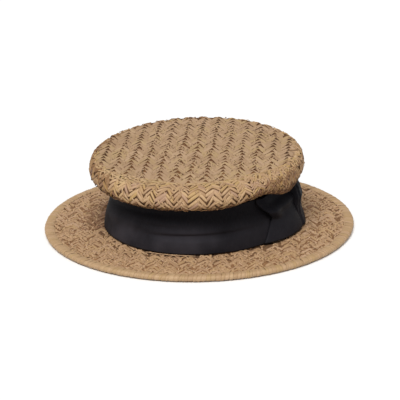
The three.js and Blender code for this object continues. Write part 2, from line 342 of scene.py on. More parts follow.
# %% A sheet spun round the head
def spin_sheet(work, section, steps=96):
    """section is a closed list of reach and height in millimetres. Adds the ring it makes, in material 1."""
    ring = bmesh.new()
    ring.loops.layers.uv.new("UVMap")
    ring.verts.layers.float.new("shade")
    verts = [ring.verts.new((0, -(HALF_LENGTH + reach), height)) for reach, height in section]
    edges = [ring.edges.new((verts[i - 1], verts[i])) for i in range(len(verts))]
    bmesh.ops.spin(ring, geom=verts + edges, axis=(0, 0, 1), cent=(0, 0, 0), angle=TURN, steps=steps, use_merge=True)
    bmesh.ops.remove_doubles(ring, verts=ring.verts, dist=0.001)
    bmesh.ops.recalc_face_normals(ring, faces=ring.faces)
    for vert in ring.verts:
        angle = math.atan2(vert.co.x, -vert.co.y)
        reach = math.hypot(vert.co.x, vert.co.y) - HALF_LENGTH
        vert.co = on_oval(angle, reach, vert.co.z)
    for face in ring.faces:
        face.smooth = True
        face.material_index = 1
    sheet = bpy.data.meshes.new("sheet")
    ring.to_mesh(sheet)
    ring.free()
    work.from_mesh(sheet)
    bpy.data.meshes.remove(sheet)


# %% [markdown]
# ## The plait of the flat straw
# The top of the crown and the brim show columns of dark arrowheads, 15 mm apart, which run from front to back and
# a little to one side, with smooth stripes between them. Each straw rises to a column, crosses it and comes down
# again, in a wide arrowhead. It is narrow at the column, so a dark gap opens there between it and the next straw, and
# it widens in the stripes, where it lies flat against its neighbours. So one bent straw fills one cell of the
# pattern, 15 mm wide and about 8 mm long. Chance moves, opens and closes each a little, and slow noise lets the
# gaps fade along a column and come back, as they do where a plaiter pulls harder.

# %% Laying a field of bent straws
SUNK = 0.6


def weave_field(work, place, inside, cell, slant, spread, opening, seed, extent, material=0):
    """Fills the cells for which inside(u, v) is true. cell is the width and length of a cell, slant the slope of
    the arms, spread how irregular the straws are, opening the share and half width of the gap at a column."""
    chance = random.Random(seed)
    count = 0
    column, row = cell
    columns = math.ceil(extent / column)
    rows = math.ceil(extent / row)
    for across in range(-columns, columns + 1):
        phase = chance.uniform(-0.5, 0.5) * row
        for down in range(-rows, rows + 1):
            u0 = across * column
            v0 = down * row + phase
            luck = [chance.gauss(0, 1) for _ in range(9)]
            shade = chance.random()
            if not inside(u0, v0):
                continue
            u0 += spread * (1.4 * noise.noise((across * 3.7, v0 / 26, seed)) + 0.7 * luck[0])
            v0 += 0.4 * luck[1] * spread
            lift = 0.07 * luck[2]
            pull = noise.noise((across * 5.3, v0 / 30, seed + 0.5))
            gap = clamp(opening[0] + 0.12 * luck[3] * spread + 0.3 * pull, 0.0, 0.95)
            closed = [clamp(opening[1] * (1 + 0.24 * luck[4 + side] * spread), 1.6, 7.5) for side in (0, 1)]
            slope = [slant + 0.14 * luck[6 + side] * spread for side in (0, 1)]
            full = 1.12 + 0.025 * luck[8]

            def shape(s, t):
                side = 0 if s < 0 else 1
                du = math.copysign(abs(s) ** 1.6, s) * (column / 2 + 1.6)
                near = clamp(1 - abs(du) / closed[side]) ** 0.6
                half = row / 2 * (full - gap * near)
                v = v0 - slope[side] * (math.sqrt(du * du + 0.1) - 0.3) + t * half
                rise = lift + (0.10 + 0.22 * near) * (1 - t * t) - 0.08 * abs(t) ** 3
                return u0 + du, v, rise - SUNK - 0.35 * ease(0.9, 1.0, abs(s))

            lay_straw(work, bent_blank, shape, place, shade, material(u0, v0) if callable(material) else material)
            count += 1
    return count


# %% [markdown]
# ## Where the top meets the side
# The crown is sewn from two plaits. The herringbone of the top runs over the shoulder at the sides and the back,
# but ends a little way in from it at the front, where the zigzag plait of the side is turned in over the edge. On
# the wearer's right a few loose straws run along the seam between them. Two curves, as reaches by angle, say
# where the herringbone ends and where the zigzag starts.

# %% The seam of the crown
SHOULDER_REACH = 16.0
SHOULDER_RADIUS = 7.8
SEAM_BACK = 19.5
SEAM_FRONT_TOP = 2.5
SEAM_FRONT_SIDE = 5.0


def top_end(angle):
    """The reach at which the herringbone of the top ends"""
    turn = math.degrees(angle)
    front = ease(-75, -15, turn) * (1 - ease(45, 88, turn))
    return SEAM_BACK + (SEAM_FRONT_TOP - SEAM_BACK) * front


def side_start(angle):
    """The reach at which the zigzag of the side starts"""
    turn = math.degrees(angle)
    front = ease(-32, 0, turn) * (1 - ease(45, 88, turn))
    return SEAM_BACK + (SEAM_FRONT_SIDE - SEAM_BACK) * front


def crown_height(reach):
    """Height of the crown at a reach: level, then falling over the shoulder"""
    past = clamp(reach - SHOULDER_REACH, 0.0, SHOULDER_RADIUS - 0.6)
    return CROWN_TOP - SHOULDER_RADIUS + math.sqrt(SHOULDER_RADIUS ** 2 - past ** 2)


print("the top ends at", [round(top_end(math.radians(turn)), 1) for turn in (-90, -45, 0, 45, 90)])

# %% [markdown]
# ## The top of the crown
# It is a flat oval, a little domed. A straw that would reach past the seam is pushed back to it and dives under
# the straws of the side. The part beyond the flat oval belongs to the side of the crown, and is laid there.

# %% Top of the crown
TIP_DOME = 1.4
COLUMN_TURN = math.radians(-6)
TOP_CELL = (15.0, 7.9)
TOP_OPENING = (0.86, 3.0)
TOP_SLANT = 1.7


def turned(u, v):
    """A place of the pattern, turned to the hat's own directions"""
    x = u * math.cos(COLUMN_TURN) + v * math.sin(COLUMN_TURN)
    y = -u * math.sin(COLUMN_TURN) + v * math.cos(COLUMN_TURN)
    return x, y


def tip_place(face):
    """Places straws on the upper face (1) or the lower one (-1) of the flat top"""
    def place(u, v, height):
        x, y = turned(u, v)
        angle, reach = oval_reach(x, y)
        end = top_end(angle) + 2.0 if face > 0 else BORDER_REACH + 1
        height -= 0.9 * ease(end - 3.5, end, reach)
        if reach > end:
            x = (HALF_WIDTH + end) * math.sin(angle)
            y = -(HALF_LENGTH + end) * math.cos(angle)
        dome = TIP_DOME * max(0.0, 1 - (x / 89) ** 2 - (y / 98.5) ** 2)
        base = crown_height(min(reach, end)) + dome if face > 0 else CROWN_TOP + dome - STRAW_THICKNESS
        return lean(x, y, base + face * height)
    return place


def over_tip(u, v):
    angle, reach = oval_reach(*turned(u, v))
    return reach < min(BORDER_REACH, top_end(angle) + 4.0)


def on_flat(u, v):
    angle, reach = oval_reach(*turned(u, v))
    return reach < min(BORDER_REACH, top_end(angle)) - 2.0


def over_shoulder(u, v):
    angle, reach = oval_reach(*turned(u, v))
    return BORDER_REACH <= reach < top_end(angle) + 4.0


# %% Loose ends of straw
def scatter_straws(work, place, inside, count, size, seed, extent, heading=61.0, stray=24.0, finish=None):
    """Lays short straws at chance places, most of them near the headings of the arms of the plait"""
    chance = random.Random(seed)
    laid = 0
    while laid < count:
        u0 = chance.uniform(-extent, extent)
        v0 = chance.uniform(-extent, extent)
        if not inside(u0, v0):
            continue
        way = math.radians(chance.choice((-1, 1)) * heading + chance.gauss(0, stray))
        length = size * chance.uniform(0.9, 1.9)
        width = size * chance.uniform(0.25, 0.48)
        lift = chance.uniform(-0.1, 0.35)

        def shape(s, t):
            u = u0 + s * length * math.cos(way) - t * width * math.sin(way)
            v = v0 + s * length * math.sin(way) + t * width * math.cos(way)
            return u, v, lift + 0.35 * (1 - t * t) - 0.75 * ease(0.35, 1.0, abs(s)) - SUNK + 0.35

        lay_straw(work, short_blank, shape, place, chance.random(), finish(u0, v0) if finish else 0)
        laid += 1
    return laid


# %% Laying the top
tip = start_work()
laid = weave_field(tip, tip_place(1), over_tip, TOP_CELL, TOP_SLANT, 1.0, TOP_OPENING, 11, 120)
laid += scatter_straws(tip, tip_place(1), on_flat, 700, 1.7, 13, 100, 59.0, 12.0)
flat_edge = 7.7
disc = [(-90.5, 76.5), (-45, 76.1), (flat_edge, 75.15), (flat_edge, 74.4), (-45, 75.5), (-90.5, 75.8)]
spin_sheet(tip, disc)
print("straws on the top:", laid)
inner_tip = weave_field(tip, tip_place(-1), over_tip, TOP_CELL, TOP_SLANT, 1.0, TOP_OPENING, 12, 120)
crown_tip_straw = finish_piece(tip, "crown_tip_straw", "crown_tip", [top_straw, deep_straw])

# %% [markdown]
# ## The brim
# The brim has the same plait, but looser, so its arrowheads are uneven, and many short ends of straw lie loose over
# them, with no order. Its straws end under the foot of the crown on the inside and under the wrapped border on the
# outside. The underside is woven too: the straws are the same on both faces, and the hat is often seen from below.

# %% Brim, both faces
BRIM_INNER = FOOT_REACH - 1.2
BRIM_OUTER = RIM_REACH - 4.6
BRIM_CELL = (15.8, 7.2)
BRIM_OPENING = (0.28, 2.8)
BRIM_SLANT = 1.6


def brim_place(face):
    def place(u, v, height):
        x, y = turned(u, v)
        angle, reach = oval_reach(x, y)
        held = clamp(reach, BRIM_INNER, BRIM_OUTER)
        height += 0.5 * ease(BRIM_OUTER - 8, BRIM_OUTER - 3, reach)
        if held != reach:
            x = (HALF_WIDTH + held) * math.sin(angle)
            y = -(HALF_LENGTH + held) * math.cos(angle)
        base = BRIM_TOP + 0.2 if face > 0 else BRIM_BOTTOM - 0.1
        return Vector((x, y, base + face * height * (1.0 if face > 0 else 0.8))) / 1000
    return place


def on_brim(u, v):
    return BRIM_INNER - 3.5 < oval_reach(*turned(u, v))[1] < BRIM_OUTER + 3.0


def in_brim(u, v):
    return BRIM_INNER + 2.0 < oval_reach(*turned(u, v))[1] < BRIM_OUTER - 2.0


# %% Laying the brim
def loose_strand(work, turns, reach, width, material):
    """One long straw that has come loose and lies along the foot of the crown"""
    start, end = (math.radians(turn) for turn in turns)

    def shape(s, t):
        bend = noise.noise((s * 1.7, reach, 3.0))
        return (start + end) / 2 + s * (end - start) / 2, reach + 0.9 * bend + t * width, 1.3 + 0.3 * (1 - t * t) - 0.6 * s * s

    def place(u, v, height):
        return on_oval(u, v, BRIM_TOP + height)

    lay_straw(work, bent_blank, shape, place, 0.4, material)


def brim_crown_shadow(u, v):
    """The brim by the foot of the crown, most of all on one side, takes a darker, redder straw: painted shadow of the
    crown
    """
    angle, reach = oval_reach(*turned(u, v))
    turn = math.degrees(angle)
    side = 1.1 * math.exp(-((turn + 100) / 38) ** 2) + 0.35 * math.exp(-((turn - 115) / 40) ** 2)
    dark = side * math.exp(-((reach - BRIM_INNER) / 24) ** 2)
    return 3 if 0.5 + 0.9 * noise.noise((u / 4, v / 4, 9.0)) < dark else 0


brim = start_work()
laid = weave_field(brim, brim_place(1), on_brim, BRIM_CELL, BRIM_SLANT, 1.7, BRIM_OPENING, 21, 190, brim_crown_shadow)
laid += scatter_straws(brim, brim_place(1), in_brim, 1900, 2.2, 23, 170, finish=brim_crown_shadow)
# Small pieces in the dark colour of the sheet: specks of painted shade over the brim.
laid += scatter_straws(brim, brim_place(1), in_brim, 420, 1.0, 24, 170, finish=lambda u, v: 1)
laid += weave_field(brim, brim_place(-1), on_brim, BRIM_CELL, BRIM_SLANT, 1.5, BRIM_OPENING, 22, 190)
loose_strand(brim, (-19, -1), 16.6, 0.75, 2)
loose_strand(brim, (-8, 10), 16.2, 0.65, 2)
spin_sheet(brim, [(BRIM_INNER, 2.0), (BRIM_OUTER, 2.0), (BRIM_OUTER, 3.9), (BRIM_INNER, 3.9)])
print("straws in the brim:", laid)
brim_straw = finish_piece(brim, "brim_straw", "brim", [brim_finish, brim_shade, border_straw, crown_shadow_straw])

# %% [markdown]
# ## The side of the crown
# Round the side the same plait runs level, so its straws stand as rows of zigzag. Its side view goes from the
# wall, out under the overhang, round the lip, up, and over the shoulder on to the top. A measure along that line
# says where a row lies, and the way the line faces says where its outside is. Each arm of the zigzag is a short
# straw that passes over its neighbour at one end and under it at the other.

# %% A side view that can be measured along
def arc(centre_reach, centre_height, radius, start, end, steps=8):
    points = []
    for step in range(steps + 1):
        angle = math.radians(start + (end - start) * step / steps)
        points.append((centre_reach + radius * math.cos(angle), centre_height + radius * math.sin(angle)))
    return points


class SideView:
    """A line of reach and height in millimetres, whose outside is on its right as it is followed"""

    def __init__(self, points):
        self.points = [Vector(point) for point in points]
        self.marks = [0.0]
        for before, after in zip(self.points, self.points[1:]):
            self.marks.append(self.marks[-1] + (after - before).length)
        self.length = self.marks[-1]

    def at(self, distance):
        """The point there and the direction outwards"""
        step = 0
        while step < len(self.marks) - 2 and self.marks[step + 1] < distance:
            step += 1
        share = (distance - self.marks[step]) / (self.marks[step + 1] - self.marks[step])
        here = self.points[step].lerp(self.points[step + 1], clamp(share, -0.5, 1.5))
        ahead = self.direction(step)
        near = self.direction(step - 1) if share < 0.5 else self.direction(step + 1)
        way = ahead.lerp(near, abs(share - 0.5)) if 0 <= share <= 1 else ahead
        way.normalize()
        return here, Vector((way.y, -way.x))

    def direction(self, step):
        step = int(clamp(step, 0, len(self.points) - 2))
        return (self.points[step + 1] - self.points[step]).normalized()

    def place(self, columns):
        """Places straws: u in columns round the head, v along the line, height outwards"""
        def place(u, v, height):
            point, out = self.at(v)
            return on_oval(TURN * u / columns, point.x + out.x * height, point.y + out.y * height)
        return place


LINE_END = -6.0
crown_line = SideView(
    [(3.2, LIP_BASE), (15.5, LIP_BASE)]
    + arc(15.5, 65.0, 9.3, -90, 0)
    + arc(SHOULDER_REACH, CROWN_TOP - SHOULDER_RADIUS, SHOULDER_RADIUS, 0, 90)
    + [(BORDER_REACH, CROWN_TOP), (LINE_END, CROWN_TOP + 0.2)]
)


def along_crown(reach):
    """The distance along the side view at which the shoulder or the top has this reach"""
    past = max(0.0, reach - SHOULDER_REACH)
    turn = SHOULDER_RADIUS * math.asin(clamp(past / SHOULDER_RADIUS))
    return crown_line.length - (min(reach, SHOULDER_REACH) - LINE_END) - turn


print("side view of the crown is", round(crown_line.length, 1), "mm long")

# %% Laying rows of zigzag
def weave_rows(work, place, columns, row, tall, start, end, spread, strands, seed, inside=None, finish=None):
    """Rows of zigzag from start to end along a side view. tall is the height of a zigzag, and each of its arms is
    made of a few strands side by side. finish(angle, v) gives the number of the material."""
    chance = random.Random(seed)
    count = 0
    corners = 2 * columns
    wander = [chance.gauss(0, 0.055) * spread for _ in range(corners)]
    for down in range(math.floor((end - start) / row) + 1):
        turns = []
        for corner in range(corners + 1):
            across = corner / 2 + wander[corner % corners] + chance.gauss(0, 0.03) * spread
            peak = tall / 2 if corner % 2 else -tall / 2
            peak *= 1 + 0.16 * chance.gauss(0, 1) * spread
            turns.append((across, start + down * row + peak + chance.gauss(0, 0.45) * spread))
        turns[-1] = (turns[0][0] + columns, turns[0][1])
        for (u_one, v_one), (u_two, v_two) in zip(turns, turns[1:]):
            u0, v0 = (u_one + u_two) / 2, (v_one + v_two) / 2
            over = (0.12 if v_two > v_one else 0.0) + chance.uniform(-0.12, 0.12)
            full = chance.uniform(0.93, 1.06)
            if inside and not inside(TURN * u0 / columns, v0):
                continue
            for strand in range(strands):
                offset = (strand - (strands - 1) / 2) / strands + chance.gauss(0, 0.035) * spread
                lift = over + 0.2 * (1 - (2 * offset) ** 2) + chance.uniform(-0.12, 0.16)
                half = row * full / 2 / strands * chance.uniform(0.84, 1.04)
                skew = chance.gauss(0, 0.35) * spread
                pinch = chance.uniform(0.2, 0.55)
                foot = -1 if v_one < v_two else 1

                def shape(s, t):
                    u = u0 + 1.06 * s * (u_two - u_one) / 2
                    wide = half * (1 - pinch * ease(0.35, 1.0, s * foot))
                    v = v0 + 1.06 * s * (v_two - v_one) / 2 + offset * row * full + skew * s + t * wide
                    rise = lift + 0.9 * (1 - t * t) - 0.9
                    return u, v, rise - 0.45 * ease(0.75, 1.0, abs(s))

                lay_straw(work, short_blank, shape, place, chance.random(), finish(TURN * u0 / columns, v0) if finish else 0)
                count += 1
    return count


# %% Straws along the seam
SIDE_COLUMNS = 43
SEAM_STRAW = 2.4


def lay_seam(work, place, seed, material):
    """Short straws, every way up, between the end of the herringbone and the start of the zigzag"""
    chance = random.Random(seed)
    count = 0
    for level in range(9):
        angle = math.radians(-84)
        while angle < math.radians(96):
            half = chance.uniform(0.022, 0.05)
            middle = angle + half
            angle += 1.5 * half
            tilt = chance.gauss(0, 2.2)
            lift = chance.uniform(-0.2, 0.4)
            width = SEAM_STRAW * chance.uniform(0.35, 0.65)
            stray = chance.gauss(0, 0.4)
            if side_start(middle) - SEAM_STRAW * level < top_end(middle) - 2.5:
                continue

            def shape(s, t):
                here = middle + s * half
                v = along_crown(side_start(here) - SEAM_STRAW * level + stray) + tilt * s + t * width
                rise = lift + 0.42 * (1 - t * t) - 0.8 * ease(0.6, 1.0, abs(s)) - 0.4
                return SIDE_COLUMNS * here / TURN, v, rise

            lay_straw(work, short_blank, shape, place, chance.random(), material)
            count += 1
    return count


# %% Frayed ends and the bend of the lip
def fray_lip(work, place, count, low, high, seed, material):
    """Short ends that stick out along the lower edge of the lip"""
    chance = random.Random(seed)
    for _ in range(count):
        u0 = chance.uniform(0, SIDE_COLUMNS)
        v0 = chance.uniform(low, high)
        way = chance.gauss(0, 0.7)
        length = chance.uniform(2.2, 4.2)
        width = chance.uniform(0.5, 0.9)
        lift = chance.uniform(0.2, 1.1)

        def shape(s, t):
            across = s * length * math.cos(way) - t * width * math.sin(way)
            v = v0 + s * length * math.sin(way) + t * width * math.cos(way)
            return u0 + across / 12, v, lift + 0.3 * (1 - t * t) - 0.9 * ease(0.5, 1.0, abs(s))

        lay_straw(work, short_blank, shape, place, chance.random(), material)


def ruffle_side(work, place, count, middle, sway, low, high, seed, shaded=False):
    """Short straws that have sprung out of the plait round one place, an angle in degrees"""
    chance = random.Random(seed)
    for _ in range(count):
        turn = chance.gauss(middle, sway)
        u0 = SIDE_COLUMNS * turn / 360
        v0 = chance.uniform(low, high)
        way = math.radians(chance.choice((-1, 1)) * 58 + chance.gauss(0, 22))
        length = chance.uniform(1.8, 3.8)
        width = chance.uniform(0.5, 0.9)
        lift = chance.uniform(-0.1, 0.5)

        def shape(s, t):
            across = s * length * math.cos(way) - t * width * math.sin(way)
            v = v0 + s * length * math.sin(way) + t * width * math.cos(way)
            return u0 + across / 16, v, lift + 0.35 * (1 - t * t) - 0.8 * ease(0.4, 1.0, abs(s))

        # Shaded straws take the dark colour of the sheet, as painted shade.
        material = 1 if shaded else side_finish(math.radians(turn), v0)
        lay_straw(work, short_blank, shape, place, chance.random(), material)


def bend_lip(work):
    """The lip has been handled, and isn't level: beside the bow it hangs lower, and in front of that higher"""
    for vert in work.verts:
        x, y, z = vert.co * 1000
        angle, reach = oval_reach(x - CROWN_SWAY, y)
        turn = math.degrees(angle)
        bend = 4.6 * math.exp(-((turn - 71) / 10) ** 2) - 5.0 * math.exp(-((turn - 49) / 13) ** 2)
        vert.co.z -= bend * ease(4, 15, reach) * (1 - ease(60, 70, z)) / 1000


# %% Side of the crown
SIDE_ROW = 5.0
SIDE_TALL = 8.3
LIP_END = 20.5


def on_side(angle, v):
    turn = (angle + math.pi) % TURN - math.pi
    return v < along_crown(side_start(turn)) + 1.5


def side_finish(angle, v):
    """The lower rows are darker, and more of them at the two ends of the oval; lower still, some take the dark colour
    of the sheet, most of all beside the bow. All of it is painted shade.
    """
    turn = (math.degrees(angle) + 180) % 360 - 180
    ends = 15.0 * ease(34, 60, turn) + 33.0 * ease(-29, -56, turn)
    painted_light_part = 10.0 * math.exp(-((turn - 76) / 16) ** 2)
    if v < LIP_END - 4 + painted_light_part and noise.noise((turn / 3, v / 2, 5.0)) > 0.35 - painted_light_part / 14:
        return 1
    return 4 if v < LIP_END + ends else 0


side = start_work()
side_place = crown_line.place(SIDE_COLUMNS)
last_row = crown_line.length - 4.0
laid = weave_rows(side, side_place, SIDE_COLUMNS, SIDE_ROW, SIDE_TALL, 2.0, last_row, 1.0, 1, 31, on_side, side_finish)
laid += lay_seam(side, side_place, 32, 3)
laid += weave_field(side, tip_place(1), over_shoulder, TOP_CELL, TOP_SLANT, 1.0, TOP_OPENING, 11, 120, 2)
# Frayed ends in the darker lip straw, and more in the dark colour of the sheet: painted shade along the lip's lower
# edge.
fray_lip(side, side_place, 190, 9.0, 19.0, 33, 4)
fray_lip(side, side_place, 280, 14.0, 21.5, 35, 1)
ruffle_side(side, side_place, 420, 68, 15, 11.0, 46.0, 34)
ruffle_side(side, side_place, 380, 0, 110, 11.0, 46.0, 36)
# Beside the bow, short straws in the dark colour of the sheet: painted shade under the bent lip.
ruffle_side(side, side_place, 250, 67, 16, 13.0, 23.0, 37, shaded=True)
shell = [(3.2, 57.1), (15.5, 57.1)] + arc(15.5, 65.0, 7.9, -90, 0) + arc(16.0, 68.2, 6.9, 0, 90)
shell += [(8.2, 75.1), (8.2, 73.4)] + arc(16.0, 68.2, 5.2, 90, 0) + arc(15.5, 65.0, 6.7, 0, -90) + [(3.2, 58.3)]
spin_sheet(side, shell)
bend_lip(side)
print("straws in the side:", laid)
side_finishes = [side_straw, side_shade, top_straw, seam_straw, lip_shade_straw]
crown_side_straw = finish_piece(side, "crown_side_straw", "crown_side", side_finishes)

# %% [markdown]
# ## The wall of the crown
# The wall is hidden by the ribbon outside, but shows inside the head opening and as a dark strip over the
# ribbon. It gets the same rows, on its inner face all the way and on its outer face only at the top.

# %% Wall of the crown
def wall_reach(up):
    return FOOT_FLARE * (1 + math.cos(math.pi * clamp(up / NECK_HEIGHT))) / 2


def wall_points(outwards, low, high, steps=12):
    points = []
    for step in range(steps + 1):
        up = low + (high - low) * step / steps
        points.append((wall_reach(up) + outwards, BRIM_TOP + up))
    return points


inner_line = SideView(list(reversed(wall_points(0.0, -2.6, LIP_HEIGHT))))
outer_line = SideView(wall_points(STRAW_THICKNESS + 0.2, 0.0, LIP_HEIGHT - 0.6))
wall = start_work()
laid = weave_rows(wall, inner_line.place(-38), 38, 6.2, 7.4, 2.4, inner_line.length - 2.4, 0.8, 2, 41)
laid += weave_rows(wall, outer_line.place(38), 38, 5.3, 6.0, outer_line.length - 5.0, outer_line.length - 2.0, 0.6, 2, 42)
sheet_out = wall_points(STRAW_THICKNESS - 0.7, -2.6, LIP_HEIGHT - 0.4)
sheet_in = wall_points(1.1, -2.6, LIP_HEIGHT - 0.4)
spin_sheet(wall, sheet_out + list(reversed(sheet_in)))
bmesh.ops.dissolve_degenerate(wall, dist=1e-6, edges=wall.edges)
print("straws in the wall:", laid)
crown_wall_straw = finish_piece(wall, "crown_wall_straw", "crown_wall", [side_straw, deep_straw])

# %% [markdown]
# ## The wrapped border
# A long straw is wound round the edge of the brim, over, round and under it. From the side the turns show as fine
# upright lines, closer together in some places than others. One turn is a straw laid along the section of the
# border, so nearly three hundred of them, of uneven widths, go round the rim.

# %% Border of the brim
edge_line = SideView(
    [(RIM_REACH - 9.5, 0.45), (RIM_REACH - 2.8, 0.45)]
    + arc(RIM_REACH - 2.8, 2.8, 2.35, -90, 90, 10)
    + [(RIM_REACH - 9.5, 5.15)]
)
chance = random.Random(51)
widths = []
while sum(widths) < 1.0:
    widths.append(chance.choice([2.2, 2.8, 3.4, 4.2, 5.0]) / 995)
widths = [width / sum(widths) for width in widths]
border = start_work()
edge_place = edge_line.place(1)
so_far = 0.0
for width in widths:
    centre = so_far + width / 2
    so_far += width
    lift = chance.uniform(-0.12, 0.22)
    slope = chance.gauss(0.0022, 0.0006)

    def wrap(s, t, centre=centre, width=width, lift=lift, slope=slope):
        far = abs(s)
        u = centre + t * width * 0.56 + s * slope
        rise = lift + 0.32 * (1 - t * t) - 0.12 * abs(t) ** 3
        return u, edge_line.length * (s + 1) / 2, rise - 0.8 * ease(0.88, 1.0, far)

    lay_straw(border, bent_blank, wrap, edge_place, chance.random())
core = [(65.6, 0.8), (69.9, 0.8)] + arc(69.9, 2.8, 2.0, -90, 90, 8) + [(65.6, 4.7)]
spin_sheet(border, core)
print("turns of the border:", len(widths))
brim_edge_straw = finish_piece(border, "brim_edge_straw", "brim_edge", [border_straw, brim_shade])

# %% [markdown]
# ## The black ribbon
# The ribbon is a soft satin band, a little loose, so it creases where it bends in round the narrow wall. It is
# one strip spun round the head and then pressed to the wall. The creases are long valleys with a
# fold above and below them. It is fine enough that its weave shows as sheen, not as threads, so that is left
# to the material.

# %% Satin
def make_satin(name, dark, light, painted_light_part, specular, roughness):
    material = bpy.data.materials.new(name)
    material.use_nodes = True
    tree = material.node_tree
    shader = tree.nodes["Principled BSDF"]
    shader.inputs["Sheen Weight"].default_value = 0.01
    shader.inputs["Sheen Roughness"].default_value = 0.4
    shader.inputs["Specular IOR Level"].default_value = specular
    shader.inputs["Roughness"].default_value = roughness
    uv = add_node(tree, "ShaderNodeUVMap", uv_map="UVMap")
    split = add_node(tree, "ShaderNodeSeparateXYZ")
    join(tree, uv.outputs[0], split.inputs[0])
    threads = add_node(tree, "ShaderNodeCombineXYZ")
    join(tree, math_node(tree, "MULTIPLY", split.outputs["X"], 1400.0), threads.inputs["X"])
    join(tree, math_node(tree, "MULTIPLY", split.outputs["Y"], 180.0), threads.inputs["Y"])
    weave = add_node(tree, "ShaderNodeTexNoise")
    weave.inputs["Scale"].default_value = 1.0
    weave.inputs["Detail"].default_value = 2.0
    join(tree, threads.outputs[0], weave.inputs["Vector"])
    ramp = add_node(tree, "ShaderNodeValToRGB")
    ramp.color_ramp.elements[0].position = 0.35
    ramp.color_ramp.elements[0].color = linear(*dark)
    ramp.color_ramp.elements[1].position = 0.7
    ramp.color_ramp.elements[1].color = linear(*light)
    join(tree, weave.outputs["Fac"], ramp.inputs[0])
    # The lighter colour is partly wear, laid in rubbed patches, and partly painted light: it is kept off the band's
    # upper part, where the overhang's shade falls, and cut to under half on the band's right side, away from the
    # light, so both stay painted darker.
    place = add_node(tree, "ShaderNodeTexCoord")
    wear = add_node(tree, "ShaderNodeTexNoise")
    wear.inputs["Scale"].default_value = 38.0
    wear.inputs["Detail"].default_value = 2.0
    join(tree, place.outputs["Object"], wear.inputs["Vector"])
    rubbed = add_node(tree, "ShaderNodeMapRange")
    rubbed.inputs["From Min"].default_value = 0.25
    rubbed.inputs["From Max"].default_value = 0.75
    rubbed.inputs["To Min"].default_value = 0.15
    rubbed.inputs["To Max"].default_value = 1.0
    join(tree, wear.outputs["Fac"], rubbed.inputs["Value"])
    level = add_node(tree, "ShaderNodeSeparateXYZ")
    join(tree, place.outputs["Object"], level.inputs[0])
    painted_shade_under_lip = add_node(tree, "ShaderNodeMapRange", interpolation_type="SMOOTHSTEP")
    painted_shade_under_lip.inputs["From Min"].default_value = 0.040
    painted_shade_under_lip.inputs["From Max"].default_value = 0.018
    join(tree, level.outputs["Z"], painted_shade_under_lip.inputs["Value"])
    painted_shade_right_side = add_node(tree, "ShaderNodeMapRange", interpolation_type="SMOOTHSTEP")
    painted_shade_right_side.inputs["From Min"].default_value = 0.055
    painted_shade_right_side.inputs["From Max"].default_value = -0.03
    painted_shade_right_side.inputs["To Min"].default_value = 0.45
    join(tree, level.outputs["X"], painted_shade_right_side.inputs["Value"])
    wear_and_light_mask = math_node(tree, "MULTIPLY", rubbed.outputs["Result"], painted_shade_under_lip.outputs["Result"])
    wear_and_light_mask = math_node(tree, "MULTIPLY", wear_and_light_mask, painted_shade_right_side.outputs["Result"])
    wear_and_light_mix = add_node(tree, "ShaderNodeMix", data_type="RGBA")
    wear_and_light_mix.inputs["B"].default_value = linear(*painted_light_part)
    join(tree, wear_and_light_mask, wear_and_light_mix.inputs["Factor"])
    join(tree, ramp.outputs["Color"], wear_and_light_mix.inputs["A"])
    join(tree, wear_and_light_mix.outputs["Result"], shader.inputs["Base Color"])
    relief = add_node(tree, "ShaderNodeBump")
    relief.inputs["Strength"].default_value = 0.2
    relief.inputs["Distance"].default_value = 0.0001
    join(tree, weave.outputs["Fac"], relief.inputs["Height"])
    join(tree, relief.outputs[0], shader.inputs["Normal"])
    return material


black_satin = make_satin("black_satin", (18, 17, 20), (25, 24, 28), (58, 55, 60), 0.06, 0.66)
bow_satin = make_satin("bow_satin", (17, 16, 21), (24, 23, 28), (54, 52, 56), 0.07, 0.58)

# %% Folds of the ribbon
RIBBON_LIFT = 1.2
RIBBON_HEIGHT = 45.2
FOLDS = [
    {"left": -26, "peak": 3, "right": 68, "height": 18.4, "rise": 1.6, "depth": 1.8},
    {"left": -48, "peak": -16, "right": 18, "height": 27.5, "rise": -1.5, "depth": 0.5},
    {"left": 118, "peak": 160, "right": 215, "height": 22.0, "rise": 3.0, "depth": 1.4},
    {"left": 190, "peak": 232, "right": 268, "height": 30.0, "rise": -3.0, "depth": 1.2},
]


def fold_height(fold, turn):
    """The slack cloth over one fold: it hangs out above the crease, and is pinched in at it"""
    if not fold["left"] < turn < fold["right"]:
        return 0.0, 0.0
    end = fold["left"] if turn < fold["peak"] else fold["right"]
    strength = math.cos(math.pi / 2 * (turn - fold["peak"]) / (end - fold["peak"])) ** 2
    crease = fold["height"] + fold["rise"] * (turn - fold["peak"]) / (fold["right"] - fold["peak"])
    return strength * fold["depth"], crease


def ribbon_reach(angle, up):
    """Reach of the ribbon's outer face"""
    turn = math.degrees(angle)
    loose = 0.0
    for fold in FOLDS:
        for whole in (0, 360, -360):
            depth, crease = fold_height(fold, turn + whole)
            if depth == 0.0:
                continue
            above = up - crease
            if above > 0:
                loose += depth * (1 - math.exp(-above / 1.6)) * math.exp(-(above / 12) ** 2)
            else:
                loose += 0.45 * depth * (1 - math.exp(above / 4)) * math.exp(-(above / 14) ** 2)
            loose += 0.35 * depth * math.exp(-(above / 9) ** 2) - 1.8 * depth * math.exp(-(above / 2.5) ** 2)
    above = up - 34.5 - 0.147 * (turn + 33.5)
    slack = 1 - ease(-20, 25, turn)
    loose += 2.4 * ease(-84, -56, turn) * slack * math.exp(-((above + 8) / 7) ** 2)
    loose -= 1.6 * ease(-150, -100, turn) * slack * ease(-2.5, 4, above)
    held = ease(-1.0, 7.0, up - RIBBON_LIFT) * ease(0.0, 9.0, RIBBON_LIFT + RIBBON_HEIGHT - up)
    return wall_reach(up) + STRAW_THICKNESS + max(0.4, 1.3 + loose * held)


